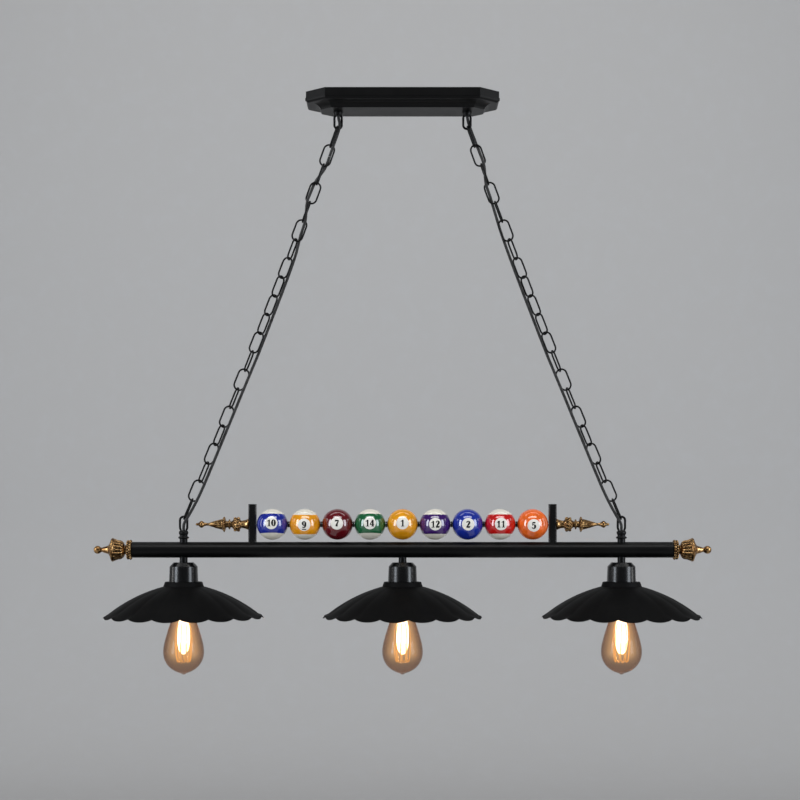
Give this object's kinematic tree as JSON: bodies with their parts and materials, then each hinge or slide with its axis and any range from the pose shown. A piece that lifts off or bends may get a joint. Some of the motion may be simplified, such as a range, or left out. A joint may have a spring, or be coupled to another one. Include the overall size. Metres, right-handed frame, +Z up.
{
  "type": "pool table lamp",
  "caption": "Linear pool table pendant: ceiling canopy, two chains, an iron bar with a row of turning billiard balls and scalloped shades with bulbs below.",
  "frame": {"origin": "middle of the ceiling plane, on the top face of the ceiling bracket", "axes": "+Z up, +X along the bar, the front of the lamp is -Y"},
  "size_m": [0.978, 0.253, 0.9162],
  "materials": {
    "black_iron": "satin black paint",
    "black_shade": "matte black paint",
    "black_chain": "semi-gloss black paint",
    "antique_brass": "antique brass",
    "zinc": "zinc plate",
    "cord": "black braid",
    "wire": "wire insulation",
    "holder": "moulded",
    "terminal": "moulded",
    "bulb_glass": "amber glass",
    "bulb_cap": "bright cap",
    "filament": "glowing",
    "ball_blue_10": "polished resin, striped",
    "ball_yellow_9": "polished resin, striped",
    "ball_maroon_7": "polished resin",
    "ball_green_14": "polished resin, striped",
    "ball_yellow_1": "polished resin",
    "ball_purple_12": "polished resin, striped",
    "ball_blue_2": "polished resin",
    "ball_red_11": "polished resin, striped",
    "ball_orange_5": "polished resin"
  },
  "bodies": {
    "canopy": {"canopy_cover": "black_iron", "ceiling_bracket": "zinc", "canopy_screws": "black_iron", "terminal_block": "terminal", "earth_screw": "zinc", "canopy_loop_left": "black_iron", "canopy_loop_right": "black_iron", "canopy_loop_nuts": "zinc", "canopy_wiring": "wire"},
    "hanger": {"top_link_left": "black_chain", "top_link_right": "black_chain", "lead_top_left": "cord", "lead_top_right": "cord"},
    "chain_left": {"chain_left": "black_chain", "lead_left": "cord"},
    "chain_right": {"chain_right": "black_chain", "lead_right": "cord"},
    "bar": {"bar_tube": "black_iron", "bar_loop_left": "black_iron", "bar_loop_right": "black_iron", "lamp_nipples": "zinc", "nipple_nut": "zinc", "lamp_stems": "black_iron", "end_plugs": "zinc", "bar_wiring": "wire", "end_finial_left": "antique_brass", "end_finial_right": "antique_brass", "ball_post_left": "black_iron", "ball_post_right": "black_iron", "spear_finial_left": "antique_brass", "spear_finial_right": "antique_brass", "ball_rod": "zinc", "ball_spacers": "black_iron", "lampholders": "holder", "shade_rings": "holder", "socket_cup_left": "black_iron", "socket_cup_middle": "black_iron", "socket_cup_right": "black_iron", "shade_left": "black_shade", "shade_middle": "black_shade", "shade_right": "black_shade"},
    "ball_1": {"ball_1": "ball_blue_10"},
    "ball_2": {"ball_2": "ball_yellow_9"},
    "ball_3": {"ball_3": "ball_maroon_7"},
    "ball_4": {"ball_4": "ball_green_14"},
    "ball_5": {"ball_5": "ball_yellow_1"},
    "ball_6": {"ball_6": "ball_purple_12"},
    "ball_7": {"ball_7": "ball_blue_2"},
    "ball_8": {"ball_8": "ball_red_11"},
    "ball_9": {"ball_9": "ball_orange_5"},
    "bulb_left": {"bulb_glass_left": "bulb_glass", "bulb_cap_left": "bulb_cap", "bulb_filament_left": "filament"},
    "bulb_middle": {"bulb_glass_middle": "bulb_glass", "bulb_cap_middle": "bulb_cap", "bulb_filament_middle": "filament"},
    "bulb_right": {"bulb_glass_right": "bulb_glass", "bulb_cap_right": "bulb_cap", "bulb_filament_right": "filament"}
  },
  "joints": [
    {"name": "swing", "type": "hinge", "parent": "canopy", "child": "hanger", "pos_m": [0, 0, -0.0524], "axis": [1, 0, 0], "range_deg": [-15, 15], "deforming": ["lead_top_left", "lead_top_right"]},
    {"name": "sway_left", "type": "hinge", "parent": "hanger", "child": "chain_left", "pos_m": [-0.1145, 0, -0.08121], "axis": [0, 1, 0], "range_deg": [-4, 4]},
    {"name": "sway_right", "type": "hinge", "parent": "hanger", "child": "chain_right", "pos_m": [0.1145, 0, -0.08121], "axis": [0, 1, 0], "range_deg": [-4, 4]},
    {"name": "bar_level", "type": "hinge", "parent": "chain_left", "child": "bar", "pos_m": [-0.34568, 0, -0.67014], "axis": [0, 1, 0], "range_deg": [-1.4, 1.4]},
    {"name": "ball_1_turn", "type": "hinge", "parent": "bar", "child": "ball_1", "pos_m": [-0.206, 0, -0.67837], "axis": [1, 0, 0], "continuous": true},
    {"name": "ball_2_turn", "type": "hinge", "parent": "bar", "child": "ball_2", "pos_m": [-0.1545, 0, -0.67837], "axis": [1, 0, 0], "continuous": true},
    {"name": "ball_3_turn", "type": "hinge", "parent": "bar", "child": "ball_3", "pos_m": [-0.103, 0, -0.67837], "axis": [1, 0, 0], "continuous": true},
    {"name": "ball_4_turn", "type": "hinge", "parent": "bar", "child": "ball_4", "pos_m": [-0.0515, 0, -0.67837], "axis": [1, 0, 0], "continuous": true},
    {"name": "ball_5_turn", "type": "hinge", "parent": "bar", "child": "ball_5", "pos_m": [0, 0, -0.67837], "axis": [1, 0, 0], "continuous": true},
    {"name": "ball_6_turn", "type": "hinge", "parent": "bar", "child": "ball_6", "pos_m": [0.0515, 0, -0.67837], "axis": [1, 0, 0], "continuous": true},
    {"name": "ball_7_turn", "type": "hinge", "parent": "bar", "child": "ball_7", "pos_m": [0.103, 0, -0.67837], "axis": [1, 0, 0], "continuous": true},
    {"name": "ball_8_turn", "type": "hinge", "parent": "bar", "child": "ball_8", "pos_m": [0.1545, 0, -0.67837], "axis": [1, 0, 0], "continuous": true},
    {"name": "ball_9_turn", "type": "hinge", "parent": "bar", "child": "ball_9", "pos_m": [0.206, 0, -0.67837], "axis": [1, 0, 0], "continuous": true},
    {"name": "bulb_left_out", "type": "slide", "parent": "bar", "child": "bulb_left", "axis": [0, 0, -1], "range_m": [0, 0.04]},
    {"name": "bulb_middle_out", "type": "slide", "parent": "bar", "child": "bulb_middle", "axis": [0, 0, -1], "range_m": [0, 0.04]},
    {"name": "bulb_right_out", "type": "slide", "parent": "bar", "child": "bulb_right", "axis": [0, 0, -1], "range_m": [0, 0.04]}
  ],
  "couplings": [
    {"joint": "sway_right", "follows": "sway_left", "ratio": 1},
    {"joint": "bar_level", "follows": "sway_left", "ratio": -0.33123}
  ]
}
